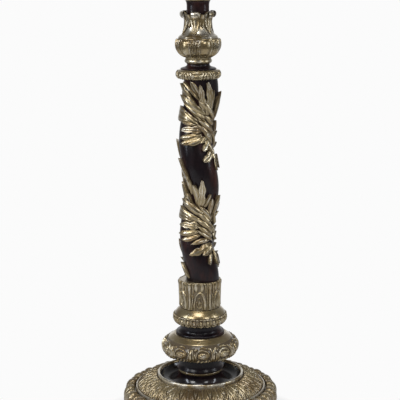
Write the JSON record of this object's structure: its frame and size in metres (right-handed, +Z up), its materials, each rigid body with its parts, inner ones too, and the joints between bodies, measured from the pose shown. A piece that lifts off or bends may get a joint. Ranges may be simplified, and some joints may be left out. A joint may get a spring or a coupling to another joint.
{
  "type": "candle stand",
  "caption": "Tall round candle stand: a twisted column wrapped with a carved leaf garland, on a carved circular base with bun feet, under a small round top.",
  "frame": {"origin": "on the floor, under the centre of the column", "axes": "+Z up along the column, -Y to the front, +X to the right seen from the front"},
  "size_m": [0.414, 0.414, 1.2613],
  "materials": {
    "gilt_wood": "carved wood, silver leaf under a gold-toned lacquer, burnished on the high places and worn to brown in the cuts",
    "ebonised_wood": "turned wood, black stain and polish, rubbed to red-brown in places",
    "bare_wood": "plain turned hardwood dowel, unfinished"
  },
  "bodies": {
    "root": {"base_torus": "gilt_wood", "dome_bead": "gilt_wood", "leaf_dome": "gilt_wood", "well_rim": "gilt_wood", "waist_bead": "gilt_wood", "knop": "gilt_wood", "cup_ring": "gilt_wood", "leaf_cup": "gilt_wood", "garland_lower": "gilt_wood", "garland_upper": "gilt_wood", "collar_ring": "gilt_wood", "vase_ring": "gilt_wood", "gadrooned_bulb": "gilt_wood", "leafed_vase": "gilt_wood", "top_bead": "gilt_wood", "top_rim": "gilt_wood", "foot_1": "ebonised_wood", "foot_2": "ebonised_wood", "foot_3": "ebonised_wood", "plinth_board": "ebonised_wood", "well_dish": "ebonised_wood", "lower_scotia": "ebonised_wood", "upper_scotia": "ebonised_wood", "twist_shaft": "ebonised_wood", "collar_scotia": "ebonised_wood", "upper_neck": "ebonised_wood", "top_flare": "ebonised_wood", "top_board": "ebonised_wood", "foot_dowel_1": "bare_wood", "foot_dowel_2": "bare_wood", "foot_dowel_3": "bare_wood", "lower_dowel": "bare_wood", "upper_dowel": "bare_wood"}
  },
  "joints": []
}
